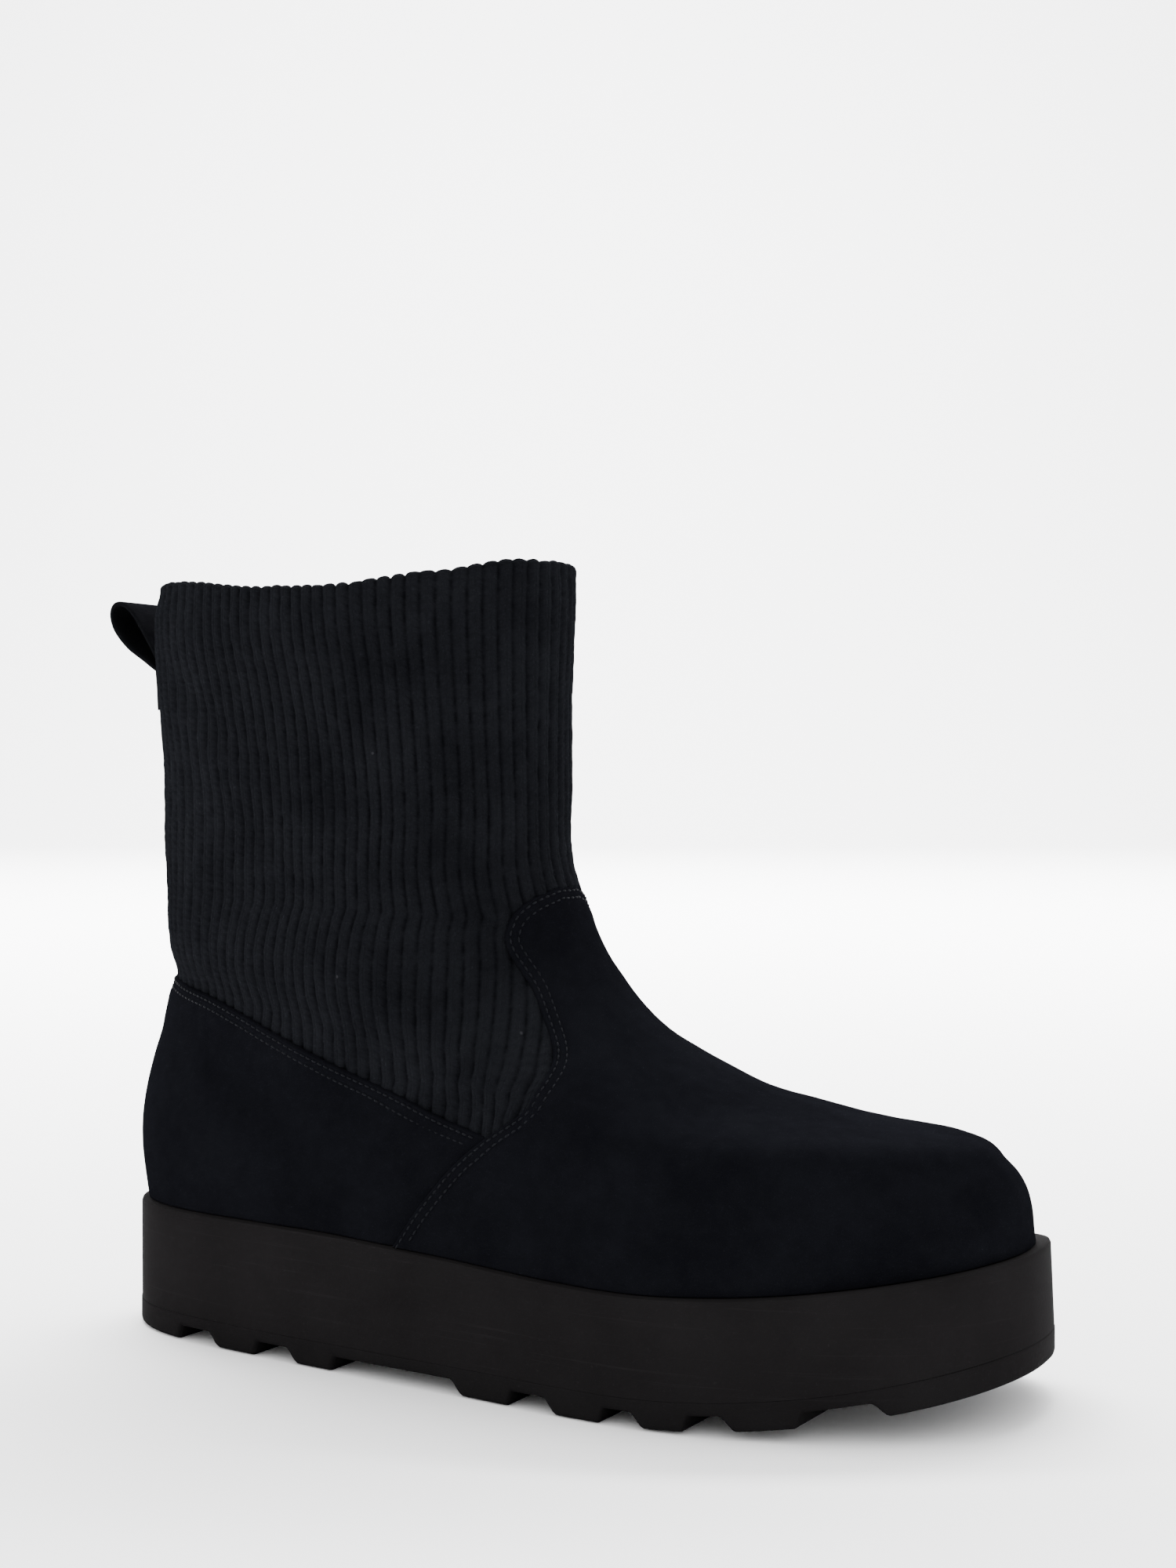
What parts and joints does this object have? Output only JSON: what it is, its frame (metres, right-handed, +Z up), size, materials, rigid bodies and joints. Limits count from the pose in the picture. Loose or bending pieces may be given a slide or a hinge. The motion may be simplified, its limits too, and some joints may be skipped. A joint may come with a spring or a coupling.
{
  "type": "sweater boot",
  "caption": "Pull-on ankle boot with a rib-knit shaft, suede toe and heel pieces, a heel pull loop and a thick flatform sole with a lugged tread.",
  "frame": {"origin": "On the floor under the heel, in the middle of the second lug from the back.", "axes": "+X points from heel to toe, +Z up from the floor, and -Y to the outer side of the right foot."},
  "size_m": [0.2843, 0.1012, 0.2184],
  "materials": {
    "sole_rubber": "matte",
    "midsole_foam": "matte",
    "footbed_cloth": "matte",
    "rib_knit": "ribbed knit",
    "suede": "napped"
  },
  "bodies": {
    "root": {"outsole": "sole_rubber", "midsole": "midsole_foam", "insole": "footbed_cloth", "upper": "rib_knit", "vamp": "suede", "counter": "suede", "pull_loop": "suede"}
  },
  "joints": []
}
